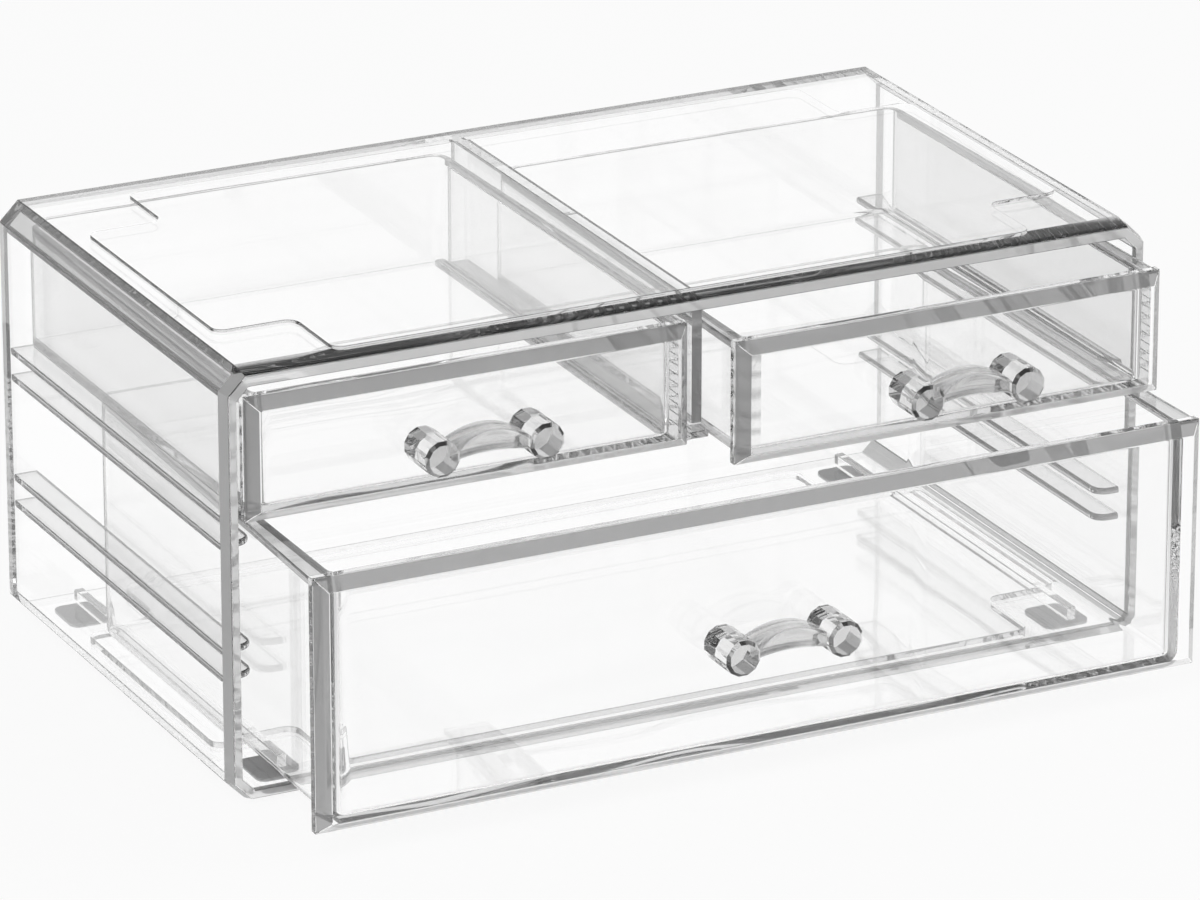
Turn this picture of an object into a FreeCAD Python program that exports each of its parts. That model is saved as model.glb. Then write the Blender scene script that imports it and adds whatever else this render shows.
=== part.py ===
import FreeCAD, Part
import math
import os

# Clear moulded organizer: an open-fronted case with two small drawers side by side above one
# tall full-width drawer. Millimetres. +X is the viewer's right, the drawers open toward -Y,
# +Z is up, and the origin is the centre of the case's footprint on the table.

# ---- driving dimensions: case ----
case_width = 305.0
case_depth = 169.6
case_height = 134.4
side_wall = 3.8
top_wall = 4.6
base_wall = 3.8
back_wall = 3.2
corner_bevel = 6.2
inner_corner_bevel = 4.0
rim_depth = 4.8
rim_inset = 1.2

# ---- driving dimensions: stacking step on the top and under the base ----
step_height = 0.9
floor_step_height = 1.9
step_side_margin = 12.0
step_front_margin = 5.3
step_back_margin = 11.8
step_notch_width = 25.0
step_notch_depth = 28.0
step_corner_radius = 4.0
step_clearance = 0.4

# ---- driving dimensions: foot pads ----
foot_stand = 0.8
foot_pocket = 0.6
foot_length_x = 15.0
foot_length_y = 17.0
foot_corner_radius = 3.0
foot_side_margin = 13.0
foot_end_margin = 8.8

# ---- driving dimensions: runners and divider ----
runner_reach = 7.8
runner_thickness = 2.2
runner_tip_radius = 5.0
runner_front_gap = 2.3
runner_back_gap = 0.6
guide_pitch = 8.6
tier_pitch = 41.4
divider_thickness = 3.3
divider_front_setback = 0.8
divider_front_clear_height = 7.0
divider_nose_radius = 1.4
divider_shelf_overlap = 2.4
floor_runner_width = 3.0
floor_runner_inset = 3.2

# ---- driving dimensions: drawers ----
drawer_gap = 0.5
panel_side_gap = 2.86
panel_sill_gap = 3.6
panel_top_gap = 3.8
panel_middle_gap = 0.65
panel_thickness = 6.6
panel_bevel = 3.8
panel_proud = 1.44
small_panel_height = 38.8
tub_lift = 1.6
tub_wall = 2.0
tub_floor = 2.2
tub_top_drop = 0.6
tub_lip_thickness = 2.4
tub_lip_back_width = 0.5
tub_corner_radius = 5.0
tub_inner_radius = 3.0
tub_floor_radius = 1.5
small_tub_side_inset = 2.84
small_tub_bottom_radius = 1.2
tall_tub_bottom_radius = 4.0
tall_tub_side_gap = 0.5
tub_back_gap = 0.4
slide_gap = 0.2
right_drawer_open = 21.6
tall_drawer_open = 47.1

# ---- driving dimensions: handles ----
handle_spacing = 33.7
small_handle_drop = 2.8
tall_handle_drop = 1.7
post_diameter = 11.4
post_length = 15.2
post_sides = 12
post_end_bevel = 1.0
bow_root_thickness = 2.4
bow_root_drop = 3.7
bow_top_rise = 7.0
bow_bottom_rise = 2.6
bow_width = 10.2
bow_panel_gap = 2.8
bow_edge_radius = 1.7

# ---- modelling allowances: how far a cutting block overshoots, and how close counts as level ----
overshoot = 1.0
level_tolerance = 1e-6

# ---- levels and planes worked out from the sizes above ----
half_width = case_width / 2.0
front_y = -case_depth / 2.0
back_y = case_depth / 2.0
body_front_y = front_y + rim_depth
case_bottom = foot_stand
case_top = case_bottom + case_height
inner_half_width = half_width - side_wall
ceiling_z = case_top - top_wall
floor_z = case_bottom + base_wall
inner_back_y = back_y - back_wall
step_floor_z = floor_z + floor_step_height

panel_half_width = inner_half_width - panel_side_gap
closed_front_y = front_y - panel_proud
small_panel_top = ceiling_z - panel_top_gap
small_panel_bottom = small_panel_top - small_panel_height
tall_panel_top = small_panel_bottom - drawer_gap
tall_panel_bottom = floor_z + panel_sill_gap
small_inner_x = divider_thickness / 2.0 + panel_middle_gap

small_tub_bottom = small_panel_bottom + tub_lift
tall_tub_bottom = tall_panel_bottom + tub_lift
small_tub_outer_x = panel_half_width - small_tub_side_inset
small_tub_inner_x = small_inner_x + small_tub_side_inset
closed_panel_back_y = closed_front_y + panel_thickness
tub_back_y = inner_back_y - tub_back_gap

runner_top = small_tub_bottom - slide_gap
runner_front_y = closed_panel_back_y + runner_front_gap
runner_back_y = inner_back_y - runner_back_gap
runner_tip_x = inner_half_width - runner_reach
tall_tub_half_width = runner_tip_x - tall_tub_side_gap

os.makedirs("parts", exist_ok=True)


def box(x_low, x_high, y_low, y_high, z_low, z_high):
    """A plain block between two corners."""
    corner = FreeCAD.Vector(x_low, y_low, z_low)
    return Part.makeBox(x_high - x_low, y_high - y_low, z_high - z_low, corner)


def polygon_wire(points):
    """A closed wire through the points."""
    return Part.makePolygon(points + [points[0]])


def bevelled_outline(x_half, z_low, z_high, bevel, y):
    """A rectangle in the XZ plane at y whose four corners are cut at 45 degrees."""
    corners = [
        (x_half - bevel, z_low),
        (x_half, z_low + bevel),
        (x_half, z_high - bevel),
        (x_half - bevel, z_high),
        (bevel - x_half, z_high),
        (-x_half, z_high - bevel),
        (-x_half, z_low + bevel),
        (bevel - x_half, z_low),
    ]
    return polygon_wire([FreeCAD.Vector(x, y, z) for x, z in corners])


def bevelled_bar(x_half, z_low, z_high, bevel, y_low, y_high):
    """The bevelled outline run from y_low to y_high."""
    face = Part.Face(bevelled_outline(x_half, z_low, z_high, bevel, y_low))
    return face.extrude(FreeCAD.Vector(0, y_high - y_low, 0))


def vertical_edges(shape, keep):
    """The edges along Z whose middle point passes the keep test."""
    found = []
    for edge in shape.Edges:
        start = edge.Vertexes[0].Point
        end = edge.Vertexes[-1].Point
        upright = abs(start.x - end.x) < level_tolerance and abs(start.y - end.y) < level_tolerance
        if upright and keep((start + end) * 0.5):
            found.append(edge)
    return found


def step_outline_solid(growth, z_low, z_high):
    """The notched stacking step, made larger all round by growth."""
    x_edge = half_width - step_side_margin + growth
    y_front = front_y + step_front_margin - growth
    y_back = back_y - step_back_margin + growth
    x_notch = half_width - step_side_margin - step_notch_width + growth
    y_front_notch = front_y + step_front_margin + step_notch_depth - growth
    y_back_notch = back_y - step_back_margin - step_notch_depth + growth
    quarter = [
        (x_notch, y_front),
        (x_notch, y_front_notch),
        (x_edge, y_front_notch),
        (x_edge, y_back_notch),
        (x_notch, y_back_notch),
        (x_notch, y_back),
    ]
    mirrored = [(-x, y) for x, y in reversed(quarter)]
    points = [FreeCAD.Vector(x, y, z_low) for x, y in quarter + mirrored]
    solid = Part.Face(polygon_wire(points)).extrude(FreeCAD.Vector(0, 0, z_high - z_low))
    return solid.makeFillet(step_corner_radius, vertical_edges(solid, lambda middle: True))


def foot_centres():
    """The four places under the base where the foot pads sit."""
    x = half_width - foot_side_margin - foot_length_x / 2.0
    y = case_depth / 2.0 - foot_end_margin - foot_length_y / 2.0
    names = ("front_left", "front_right", "back_left", "back_right")
    return dict(zip(names, ((-x, -y), (x, -y), (-x, y), (x, y))))


def foot_block(x, y, z_low, z_high):
    """A rounded pad standing between two heights."""
    pad = box(
        x - foot_length_x / 2.0,
        x + foot_length_x / 2.0,
        y - foot_length_y / 2.0,
        y + foot_length_y / 2.0,
        z_low,
        z_high,
    )
    return pad.makeFillet(foot_corner_radius, vertical_edges(pad, lambda middle: True))


def case_shell():
    """The bevelled tube of the case with its front rim, top step and recessed base."""
    body = bevelled_bar(half_width, case_bottom, case_top, corner_bevel, body_front_y, back_y)
    rim_bevel = corner_bevel - rim_inset * (2.0 - math.sqrt(2.0))
    rim = Part.makeLoft(
        [
            bevelled_outline(half_width, case_bottom, case_top, corner_bevel, body_front_y),
            bevelled_outline(
                half_width - rim_inset,
                case_bottom + rim_inset,
                case_top - rim_inset,
                rim_bevel,
                front_y,
            ),
        ],
        True,
        True,
    )
    top_step = step_outline_solid(0.0, ceiling_z + top_wall / 2.0, case_top + step_height)
    hollow = bevelled_bar(
        inner_half_width, floor_z, ceiling_z, inner_corner_bevel, front_y - overshoot, back_y + overshoot
    )
    raised_floor = step_outline_solid(step_clearance, floor_z - base_wall / 2.0, step_floor_z)
    recess_depth = step_height + step_clearance
    base_recess = step_outline_solid(step_clearance, case_bottom - overshoot, case_bottom + recess_depth)
    shell = body.fuse(rim).fuse(top_step).cut(hollow).fuse(raised_floor).cut(base_recess)
    for x, y in foot_centres().values():
        shell = shell.cut(foot_block(x, y, 0.0, case_bottom + foot_pocket))
    return shell.removeSplitter()


def back_panel():
    """The plate that closes the back of the tube."""
    plate = bevelled_bar(
        inner_half_width, floor_z, ceiling_z, inner_corner_bevel, inner_back_y, back_y
    )
    return plate


def side_runner(side, top_z):
    """One tongue on a side wall; side is -1 for the left wall and 1 for the right."""
    root_x = side * inner_half_width
    tip_x = side * runner_tip_x
    tongue = box(
        min(root_x, tip_x),
        max(root_x, tip_x),
        runner_front_y,
        runner_back_y,
        top_z - runner_thickness,
        top_z,
    )
    front_tip = vertical_edges(
        tongue,
        lambda middle: abs(middle.x - tip_x) < level_tolerance
        and abs(middle.y - runner_front_y) < level_tolerance,
    )
    return tongue.makeFillet(runner_tip_radius, front_tip)


def centre_divider():
    """The web between the two small drawers, stepped up behind their front panels."""
    web_bottom = runner_top - runner_thickness
    nose_y = front_y + divider_front_setback
    web = box(
        -divider_thickness / 2.0,
        divider_thickness / 2.0,
        nose_y,
        inner_back_y,
        web_bottom,
        ceiling_z,
    )
    front_step = box(
        -divider_thickness,
        divider_thickness,
        nose_y - overshoot,
        runner_front_y,
        web_bottom - overshoot,
        web_bottom + divider_front_clear_height,
    )
    web = web.cut(front_step)
    nose = [
        edge
        for edge in web.Edges
        if abs(edge.CenterOfMass.y - nose_y) < level_tolerance
        and abs(edge.CenterOfMass.z - web_bottom - divider_front_clear_height) < level_tolerance
    ]
    return web.makeFillet(divider_nose_radius, nose)


def divider_shelf(side):
    """The ledge on one side of the divider that carries a small drawer's inner edge."""
    root_x = side * divider_thickness / 2.0
    tip_x = side * (small_tub_inner_x + divider_shelf_overlap)
    return box(
        min(root_x, tip_x),
        max(root_x, tip_x),
        runner_front_y,
        inner_back_y,
        runner_top - runner_thickness,
        runner_top,
    )


def floor_runner(side):
    """A low strip on the floor that the tall drawer slides on."""
    outer_x = tall_tub_half_width - tall_tub_bottom_radius - floor_runner_inset
    inner_x = outer_x - floor_runner_width
    return box(
        min(side * outer_x, side * inner_x),
        max(side * outer_x, side * inner_x),
        runner_front_y,
        back_y - step_back_margin,
        step_floor_z,
        tall_tub_bottom - slide_gap,
    )


def drawer_panel(x_low, x_high, z_low, z_high, front):
    """A thick front panel whose four front edges are bevelled."""

    def outline(inset, y):
        corners = [
            (x_low + inset, z_low + inset),
            (x_high - inset, z_low + inset),
            (x_high - inset, z_high - inset),
            (x_low + inset, z_high - inset),
        ]
        return polygon_wire([FreeCAD.Vector(x, y, z) for x, z in corners])

    bevel_end = front + panel_bevel
    slab = box(x_low, x_high, bevel_end, front + panel_thickness, z_low, z_high)
    bevels = Part.makeLoft([outline(panel_bevel, front), outline(0.0, bevel_end)], True, True)
    return slab.fuse(bevels).removeSplitter()


def tub_lip(wall_x, edge_x, start_y, end_y, z_high):
    """A flat lip beside a tub's side wall, as wide as the panel in front and narrowing backwards."""
    back_x = wall_x + math.copysign(tub_lip_back_width, edge_x - wall_x)
    root_x = wall_x - math.copysign(tub_wall / 2.0, edge_x - wall_x)
    z_low = z_high - tub_lip_thickness
    corners = [(root_x, start_y), (edge_x, start_y), (back_x, end_y), (root_x, end_y)]
    outline = polygon_wire([FreeCAD.Vector(x, y, z_low) for x, y in corners])
    return Part.Face(outline).extrude(FreeCAD.Vector(0, 0, tub_lip_thickness))


def drawer_tub(x_range, lip_x_range, z_low, z_high, front, bottom_radius):
    """An open-topped tub: floor, two sides and a back, with its front end left open."""
    x_low, x_high = x_range
    start_y = front + panel_thickness
    end_y = start_y + tub_back_y - closed_panel_back_y
    outer = box(x_low, x_high, start_y, end_y, z_low, z_high)
    back_corners = vertical_edges(
        outer, lambda middle: abs(middle.y - end_y) < level_tolerance
    )
    outer = outer.makeFillet(tub_corner_radius, back_corners)
    lower_edges = [
        edge
        for edge in outer.Edges
        if abs(edge.BoundBox.ZMax - z_low) < level_tolerance and edge.CenterOfMass.y > start_y + level_tolerance
    ]
    outer = outer.makeFillet(bottom_radius, lower_edges)
    inner = box(
        x_low + tub_wall,
        x_high - tub_wall,
        start_y - 2.0 * tub_corner_radius,
        end_y - tub_wall,
        z_low + tub_floor,
        z_high + 2.0 * tub_corner_radius,
    )
    inner_back = vertical_edges(
        inner, lambda middle: abs(middle.y - end_y + tub_wall) < level_tolerance
    )
    inner = inner.makeFillet(tub_inner_radius, inner_back)
    inner_floor = z_low + tub_floor
    inner_lower = [
        edge
        for edge in inner.Edges
        if abs(edge.BoundBox.ZMax - inner_floor) < level_tolerance
        and edge.CenterOfMass.y > start_y - tub_corner_radius
    ]
    inner = inner.makeFillet(tub_floor_radius, inner_lower)
    tub = outer.cut(inner)
    lip_end_y = end_y - tub_corner_radius
    for wall_x, edge_x in zip(x_range, lip_x_range):
        tub = tub.fuse(tub_lip(wall_x, edge_x, start_y, lip_end_y, z_high))
    return tub.removeSplitter()


def handle_post(centre_x, centre_z, front):
    """A faceted round post standing out from a panel's face, bevelled at its free end."""
    turn = math.pi / post_sides
    radius = post_diameter / 2.0
    points = []
    for index in range(post_sides):
        angle = 2.0 * math.pi * index / post_sides + turn
        x = centre_x + radius * math.cos(angle)
        z = centre_z + radius * math.sin(angle)
        points.append(FreeCAD.Vector(x, front, z))
    post = Part.Face(polygon_wire(points)).extrude(FreeCAD.Vector(0, -post_length, 0))
    free_y = front - post_length
    end_edges = [edge for edge in post.Edges if abs(edge.BoundBox.YMax - free_y) < level_tolerance]
    return post.makeChamfer(post_end_bevel, end_edges)


def bow_arc(centre_x, root_z, rise, y):
    """An arc between the two post centres that rises in the middle."""
    half_span = handle_spacing / 2.0
    left = FreeCAD.Vector(centre_x - half_span, y, root_z)
    middle = FreeCAD.Vector(centre_x, y, root_z + rise)
    right = FreeCAD.Vector(centre_x + half_span, y, root_z)
    return Part.Arc(left, middle, right).toShape(), left, right


def handle_bow(centre_x, centre_z, front, posts):
    """The arched grip between two posts, thicker in the middle than at its ends."""
    near_y = front - bow_panel_gap
    root_z = centre_z - bow_root_drop
    low_arc, low_left, low_right = bow_arc(centre_x, root_z, bow_bottom_rise, near_y)
    top_root_z = root_z + bow_root_thickness
    top_arc, top_left, top_right = bow_arc(centre_x, top_root_z, bow_top_rise, near_y)
    ends = [Part.makeLine(low_right, top_right), Part.makeLine(top_left, low_left)]
    outline = Part.Wire(Part.__sortEdges__([low_arc, top_arc] + ends))
    grip = Part.Face(outline).extrude(FreeCAD.Vector(0, -bow_width, 0))
    for post in posts:
        grip = grip.cut(post)
    long_edges = [edge for edge in grip.Edges if edge.Curve.TypeId == "Part::GeomCircle"]
    return grip.makeFillet(bow_edge_radius, long_edges)


def save(name, shape):
    """Write one piece to its own file."""
    shape.exportStep("parts/" + name + ".step")


def build_case():
    save("case_shell", case_shell())
    save("back_panel", back_panel())
    save("centre_divider", centre_divider())
    for side, side_name in ((-1, "left"), (1, "right")):
        for tier, tier_name in enumerate(("upper", "lower")):
            tier_top = runner_top - tier * tier_pitch
            save(side_name + "_" + tier_name + "_runner", side_runner(side, tier_top))
            save(side_name + "_" + tier_name + "_guide", side_runner(side, tier_top - guide_pitch))
        save(side_name + "_divider_shelf", divider_shelf(side))
        save(side_name + "_floor_runner", floor_runner(side))
    for place, (x, y) in foot_centres().items():
        save(place + "_foot", foot_block(x, y, 0.0, case_bottom + foot_pocket))


def build_drawer(name, x_range, z_range, tub_x_range, tub_bottom, tub_radius, drop, opened):
    """One drawer: its panel, tub, two handle posts and the bow between them."""
    front = closed_front_y - opened
    x_low, x_high = x_range
    z_low, z_high = z_range
    save(name + "_front", drawer_panel(x_low, x_high, z_low, z_high, front))
    tub = drawer_tub(tub_x_range, x_range, tub_bottom, z_high - tub_top_drop, front, tub_radius)
    save(name + "_tub", tub)
    centre_x = (x_low + x_high) / 2.0
    centre_z = (z_low + z_high) / 2.0 - drop
    posts = []
    for side, side_name in ((-1, "left"), (1, "right")):
        post = handle_post(centre_x + side * handle_spacing / 2.0, centre_z, front)
        save(name + "_handle_" + side_name + "_post", post)
        posts.append(post)
    save(name + "_handle_bow", handle_bow(centre_x, centre_z, front, posts))


build_case()
small_heights = (small_panel_bottom, small_panel_top)
build_drawer(
    "left_drawer",
    (-panel_half_width, -small_inner_x),
    small_heights,
    (-small_tub_outer_x, -small_tub_inner_x),
    small_tub_bottom,
    small_tub_bottom_radius,
    small_handle_drop,
    0.0,
)
build_drawer(
    "right_drawer",
    (small_inner_x, panel_half_width),
    small_heights,
    (small_tub_inner_x, small_tub_outer_x),
    small_tub_bottom,
    small_tub_bottom_radius,
    small_handle_drop,
    right_drawer_open,
)
build_drawer(
    "tall_drawer",
    (-panel_half_width, panel_half_width),
    (tall_panel_bottom, tall_panel_top),
    (-tall_tub_half_width, tall_tub_half_width),
    tall_tub_bottom,
    tall_tub_bottom_radius,
    tall_handle_drop,
    tall_drawer_open,
)
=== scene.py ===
import logging
import math
from collections.abc import Callable, Iterable, Iterator
from contextlib import contextmanager
from dataclasses import dataclass, field
from enum import Enum, IntEnum

import bmesh
import bpy
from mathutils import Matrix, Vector


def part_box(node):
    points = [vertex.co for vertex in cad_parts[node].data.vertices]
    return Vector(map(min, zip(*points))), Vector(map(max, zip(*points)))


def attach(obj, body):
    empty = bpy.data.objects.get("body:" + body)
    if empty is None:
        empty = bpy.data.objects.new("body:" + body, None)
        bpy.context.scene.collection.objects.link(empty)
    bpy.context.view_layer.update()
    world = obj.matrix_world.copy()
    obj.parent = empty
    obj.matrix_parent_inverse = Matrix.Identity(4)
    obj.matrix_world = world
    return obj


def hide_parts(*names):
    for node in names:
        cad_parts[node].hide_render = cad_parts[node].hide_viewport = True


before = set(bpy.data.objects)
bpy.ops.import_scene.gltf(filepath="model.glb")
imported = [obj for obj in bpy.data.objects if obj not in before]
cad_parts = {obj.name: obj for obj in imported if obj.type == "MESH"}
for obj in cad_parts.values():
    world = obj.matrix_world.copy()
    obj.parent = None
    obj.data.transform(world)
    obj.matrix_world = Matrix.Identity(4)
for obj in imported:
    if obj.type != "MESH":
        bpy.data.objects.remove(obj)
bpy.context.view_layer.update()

TINY = 1e-5  # places closer than this are the same place, in metres
SNUG = 2e-5  # how far shapes that touch are kept apart or overlapped for a clean weld
SEAM = 2e-6  # vertices closer than this after a weld become one
SMOOTH_ANGLE = math.radians(24.0)
PARALLEL = 0.999  # an edge's least share along an axis that it is parallel to
# Shares of a face's normal along an axis:
ALMOST_SQUARE = 0.99  # the most of a round that runs out into a face square to the axis
SQUARE = 0.98  # the least of a face square to the axis
FACING = 0.9  # the least of a face that looks along it
MOSTLY = 0.5  # the least of a bevel that leans to it
UPRIGHT = 0.3  # the most that an upright face has along Z
LEANING = 0.1  # the least of a face that leans to the axis at all
SLANT = math.sqrt(0.5)  # that of a 45 degree bevel, along each of two axes
SLANT_SLACK = 0.02  # how far a bevel's may be off
EIGHTH_TURN = 45.0  # in degrees, from a flat to the bevel beside it
SIDES = ("left", "right")
BLACK = (0.0, 0.0, 0.0, 1.0)
WHITE = (1.0, 1.0, 1.0, 1.0)
log = logging.getLogger("organizer")

Piece = bpy.types.Object
Part = bmesh.types.BMVert | bmesh.types.BMEdge | bmesh.types.BMFace
Test = Callable[[Part], bool]
Triple = tuple[float, float, float]
Material = bpy.types.Material
Tree = bpy.types.NodeTree
Node = bpy.types.Node
Socket = bpy.types.NodeSocket
Inputs = dict[str | int, Socket | float | tuple[float, ...]]
Tones = tuple[tuple[float, float], ...]


class Axis(IntEnum):
    """The three axes: across, into the case, and up."""

    X = 0
    Y = 1
    Z = 2


class Body(Enum):
    """The four bodies that move against each other."""

    CASE = "case"
    LEFT = "left_drawer"
    RIGHT = "right_drawer"
    TALL = "tall_drawer"


class FinishAndPaintedShade(Enum):
    """Each finish of clear plastic, with the shade painted into its tone, named after the faces
    that have it.
    """

    CLEAR = "clear"
    TOP_BEVEL = "top_bevel"
    SIDE_BEVEL = "side_bevel"
    FAR_BEVEL = "far_bevel"
    EDGE = "edge"
    WALL = "wall"
    RIM = "rim"
    CHAMFER = "chamfer"
    BACK = "back"
    BROW = "brow"
    BROW_LINE = "painted_brow_shade"
    TONGUE = "tongue"
    LINE = "line"
    NOSE = "nose"
    STRIP = "strip"
    UNDER = "under"
    FILLET = "fillet"
    LIP = "lip"
    POST = "post"
    GLINT = "painted_reflection"
    BOW = "bow"


class Steps(IntEnum):
    """How many flats stand for a bevel or a round."""

    BEVEL = 1
    EDGE = 2
    FILLET = 4
    ROUND = 5
    CORNER = 6


FinishAndShadeMaterials = dict[FinishAndPaintedShade, Material]


# ---------------- the bench


def clear_selection() -> None:
    """Go to object mode with nothing selected."""
    if bpy.context.mode != "OBJECT":
        bpy.ops.object.mode_set(mode="OBJECT")
    bpy.ops.object.select_all(action="DESELECT")


def pick_up(piece: Piece) -> None:
    """Make one piece the only selected and the active one.

    Args:
        piece: The piece.
    """
    clear_selection()
    piece.select_set(True)
    bpy.context.view_layer.objects.active = piece


@contextmanager
def editing(piece: Piece, kind: str) -> Iterator[bmesh.types.BMesh]:
    """Open a piece in edit mode with nothing selected.

    Args:
        piece: The piece to shape.
        kind: What is selected in it: VERT, EDGE or FACE.

    Yields:
        The piece's mesh as edit mode holds it.
    """
    pick_up(piece)
    bpy.ops.object.mode_set(mode="EDIT")
    bpy.ops.mesh.select_mode(type=kind)
    bpy.ops.mesh.select_all(action="DESELECT")
    yield bmesh.from_edit_mesh(piece.data)
    bpy.ops.object.mode_set(mode="OBJECT")


def lies_at(part: Part, axis: Axis, place: float) -> bool:
    """True if a whole edge or face lies in the plane at a place along an axis."""
    return all(abs(vertex.co[axis] - place) < TINY for vertex in part.verts)


def at(**places: float) -> Test:
    """Make a test for edges and faces that lie at one place along each axis given.

    Args:
        places: Where along x, y or z.

    Returns:
        The test.
    """
    return lambda part: all(
        lies_at(part, Axis[axis.upper()], place) for axis, place in places.items()
    )


def runs_along(edge: bmesh.types.BMEdge, axis: Axis) -> bool:
    """True if an edge is parallel to an axis."""
    span = edge.verts[1].co - edge.verts[0].co
    return abs(span[axis]) > PARALLEL * span.length


def middle(part: Part) -> Vector:
    """The mean place of an edge's or face's vertices."""
    return sum((vertex.co for vertex in part.verts), Vector()) / len(part.verts)


def is_slanted(first: float, second: float) -> bool:
    """True if two parts of a face's normal are those of a 45 degree bevel."""
    return all(abs(abs(share) - SLANT) < SLANT_SLACK for share in (first, second))


def corners(node: str) -> tuple[Vector, Vector]:
    """The lowest and the highest corner of a solid."""
    low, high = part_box(node)
    return Vector(low), Vector(high)


def is_level_with(place: Vector, node: str) -> bool:
    """True if a place is no lower and no higher than a solid."""
    low, high = corners(node)
    return low.z - TINY < place.z < high.z + TINY


def choose(piece: Piece, parts: Iterable[Part], test: Test) -> None:
    """Select the parts of a piece in edit mode that pass a test.

    Args:
        piece: The piece, in edit mode.
        parts: Its vertices, edges or faces.
        test: Says which of them are selected.
    """
    for part in parts:
        part.select_set(test(part))
    bmesh.update_edit_mesh(piece.data)


def start_block(name: str, low: Vector | Triple, high: Vector | Triple) -> Piece:
    """Add a block between two corners, with its origin at the centre of the frame.

    Args:
        name: The piece's name.
        low: Its lowest corner.
        high: Its highest corner.

    Returns:
        The new block.
    """
    clear_selection()
    low, high = Vector(low), Vector(high)
    bpy.ops.mesh.primitive_cube_add(size=1.0, location=(low + high) / 2.0)
    block = bpy.context.object
    block.scale = high - low
    block.name = name
    bpy.ops.object.transform_apply(location=True, rotation=True, scale=True)
    return block


def bevel_edges(piece: Piece, test: Test, width: float, steps: Steps = Steps.BEVEL) -> None:
    """Bevel or round the edges that pass a test.

    Args:
        piece: The piece to shape.
        test: Says which edges are cut.
        width: How far the cut reaches along each face.
        steps: How many flats the cut has.
    """
    with editing(piece, "EDGE") as sketch:
        choose(piece, sketch.edges, test)
        bpy.ops.mesh.bevel(offset=width, segments=steps, affect="EDGES")


def inset_face(piece: Piece, test: Test, thickness: float, depth: float = 0.0) -> None:
    """Inset the faces that pass a test, and push the inner face out by a depth.

    Args:
        piece: The piece to shape.
        test: Says which faces are inset.
        thickness: How far their edges are drawn in.
        depth: How far the inner face is pushed out.
    """
    with editing(piece, "FACE") as sketch:
        choose(piece, sketch.faces, test)
        bpy.ops.mesh.inset(thickness=thickness, depth=depth)


def pull_face(piece: Piece, test: Test, move: Triple) -> None:
    """Extrude the faces that pass a test along a move.

    Args:
        piece: The piece to shape.
        test: Says which faces are pulled.
        move: How far and which way.
    """
    with editing(piece, "FACE") as sketch:
        choose(piece, sketch.faces, test)
        bpy.ops.mesh.extrude_region_move(TRANSFORM_OT_translate={"value": move})


def shift_corners(piece: Piece, test: Callable[[Vector], bool], move: Triple) -> None:
    """Move the vertices whose place passes a test.

    Args:
        piece: The piece to shape.
        test: Says by its place if a vertex is moved.
        move: How far and which way.
    """
    with editing(piece, "VERT") as sketch:
        choose(piece, sketch.verts, lambda vertex: test(vertex.co))
        bpy.ops.transform.translate(value=move)


def slice_across(piece: Piece, axis: Axis, place: float) -> None:
    """Score a piece all round with a plane square to an axis.

    Args:
        piece: The piece to shape.
        axis: The axis that the plane is square to.
        place: Where along it the plane lies.
    """
    with editing(piece, "VERT"):
        bpy.ops.mesh.select_all(action="SELECT")
        point, normal = [0.0] * 3, [0.0] * 3
        point[axis], normal[axis] = place, 1.0
        bpy.ops.mesh.bisect(plane_co=point, plane_no=normal)


def combine(piece: Piece, other: Piece, how: str) -> Piece:
    """Weld another shape to a piece, or cut it out of it, and drop the other.

    Args:
        piece: The piece that stays.
        other: The shape that is used up.
        how: UNION or DIFFERENCE.

    Returns:
        The changed piece.
    """
    pick_up(piece)
    modifier = piece.modifiers.new(how.lower(), "BOOLEAN")
    modifier.operation = how
    modifier.solver = "MANIFOLD"
    modifier.object = other
    bpy.ops.object.modifier_apply(modifier=modifier.name)
    bpy.data.objects.remove(other)
    return piece


def weld(piece: Piece, *others: Piece) -> Piece:
    """Weld other shapes to a piece, one after another.

    Args:
        piece: The piece that stays.
        others: The shapes that are welded to it.

    Returns:
        The changed piece.
    """
    for other in others:
        combine(piece, other, "UNION")
    return piece


def cut_out(piece: Piece, *others: Piece) -> Piece:
    """Cut other shapes out of a piece, one after another.

    Args:
        piece: The piece that stays.
        others: The shapes that are cut out of it.

    Returns:
        The changed piece.
    """
    for other in others:
        combine(piece, other, "DIFFERENCE")
    return piece


def true_up(piece: Piece) -> None:
    """Close a moulding's seams, smooth its rounds and keep its flats flat.

    Args:
        piece: The moulding.
    """
    with editing(piece, "VERT"):
        bpy.ops.mesh.select_all(action="SELECT")
        bpy.ops.mesh.remove_doubles(threshold=SEAM)
        bpy.ops.mesh.dissolve_degenerate(threshold=SEAM)
    pick_up(piece)
    bpy.ops.object.shade_smooth_by_angle(angle=SMOOTH_ANGLE)
    keep = piece.modifiers.new("flat_flats", "WEIGHTED_NORMAL")
    keep.keep_sharp = True
    keep.weight = 100
    bpy.ops.object.modifier_apply(modifier=keep.name)


def dress(piece: Piece, materials: list[Material]) -> None:
    """Give a piece its materials, in its object's own slots.

    Args:
        piece: The piece to dress.
        materials: One material per slot.
    """
    while len(piece.data.materials) < len(materials):
        piece.data.materials.append(None)
    for slot, material in zip(piece.material_slots, materials):
        slot.link = "OBJECT"
        slot.material = material


def stands_for(piece: Piece, body: Body, nodes: list[str]) -> None:
    """Say what a moulding moves with and which solids it shows instead of.

    Args:
        piece: The finished moulding.
        body: The body it rides on.
        nodes: The solids it replaces.
    """
    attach(piece, body.value)
    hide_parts(*nodes)
    log.info("%s: %d faces for %d solids", piece.name, len(piece.data.polygons), len(nodes))


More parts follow.
